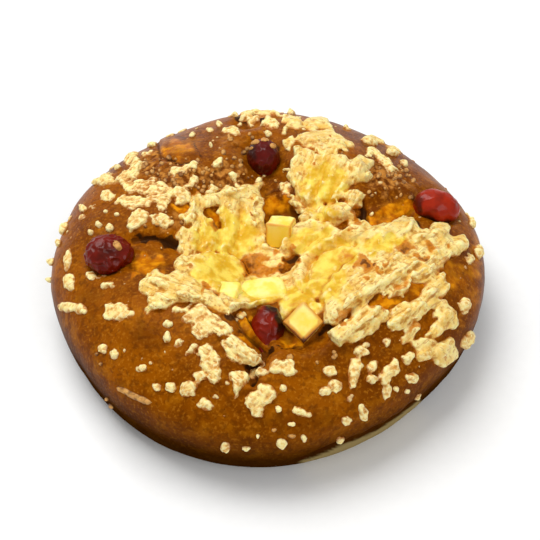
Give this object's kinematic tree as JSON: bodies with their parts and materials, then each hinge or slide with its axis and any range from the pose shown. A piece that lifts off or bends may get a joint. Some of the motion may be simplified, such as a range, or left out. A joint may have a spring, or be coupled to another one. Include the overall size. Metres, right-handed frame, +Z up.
{
  "type": "focaccia",
  "caption": "Round focaccia loaf with a hollow pressed in its glossy brown crust, topped with melted grated cheese, cheese cubes and baked cherry tomatoes",
  "frame": {"origin": "centre of the flat base of the loaf, at the height of the surface that it rests on", "axes": "+Z up; -Y towards the side shown at the front of the picture; +X to the right seen from there"},
  "size_m": [0.1805, 0.1833, 0.0554],
  "materials": {
    "crust": "satin",
    "melted_cheese": "satin",
    "tomato": "gloss",
    "cheese": "satin"
  },
  "bodies": {
    "root": {"bread": "crust", "melted_cheese": "melted_cheese", "tomato_left": "tomato", "tomato_back": "tomato", "tomato_right": "tomato", "tomato_front": "tomato", "cheese_cube_front": "cheese", "cheese_cube_middle": "cheese", "cheese_cube_left": "cheese", "cheese_cube_soft": "cheese"}
  },
  "joints": []
}
